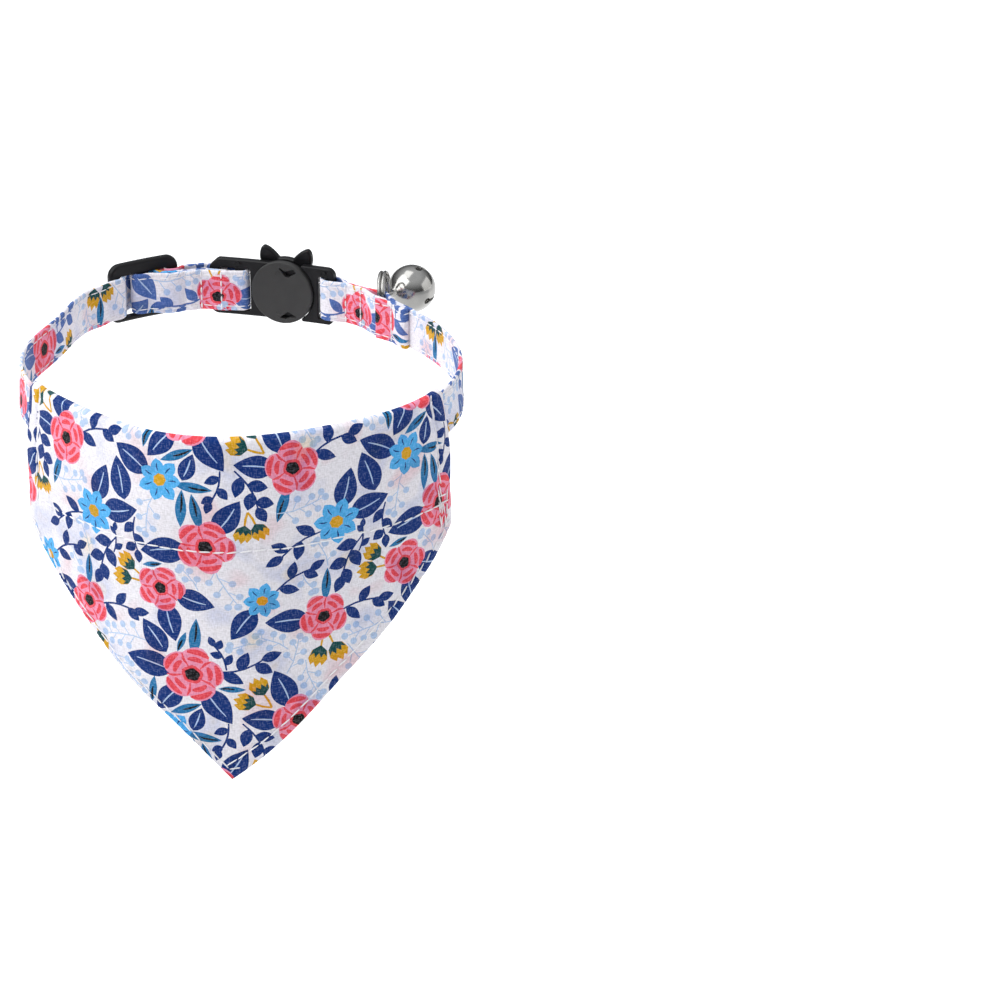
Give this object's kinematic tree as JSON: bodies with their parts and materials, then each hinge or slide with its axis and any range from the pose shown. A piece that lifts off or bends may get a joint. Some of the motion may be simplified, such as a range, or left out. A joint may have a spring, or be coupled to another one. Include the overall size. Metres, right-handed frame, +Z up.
{
  "type": "pet bandana collar",
  "caption": "Narrow cotton pet collar with a printed triangular bandana on a sleeve, a cat-eared breakaway buckle, a slider and a small bell on a ring.",
  "frame": {"origin": "middle of the neck opening, at half the strap's height", "axes": "+Z up the neck, -Y towards the bandana at the front, +X towards the bell's side"},
  "size_m": [0.105, 0.117, 0.091],
  "materials": {
    "collar_strap": "printed cotton strap",
    "bandana": "printed plain-weave cotton",
    "slider": "black satin plastic",
    "buckle_socket": "black fine-grained plastic",
    "buckle_prong": "black fine-grained plastic",
    "bell_ring": "bright nickel plate",
    "bell_shell": "bright nickel plate",
    "bell_pellet": "plain steel ball"
  },
  "bodies": {
    "root": {"collar_strap": "collar_strap", "bandana": "bandana", "slider": "slider", "buckle_socket": "buckle_socket", "buckle_prong": "buckle_prong", "bell_ring": "bell_ring", "bell_shell": "bell_shell", "bell_pellet": "bell_pellet"}
  },
  "joints": []
}
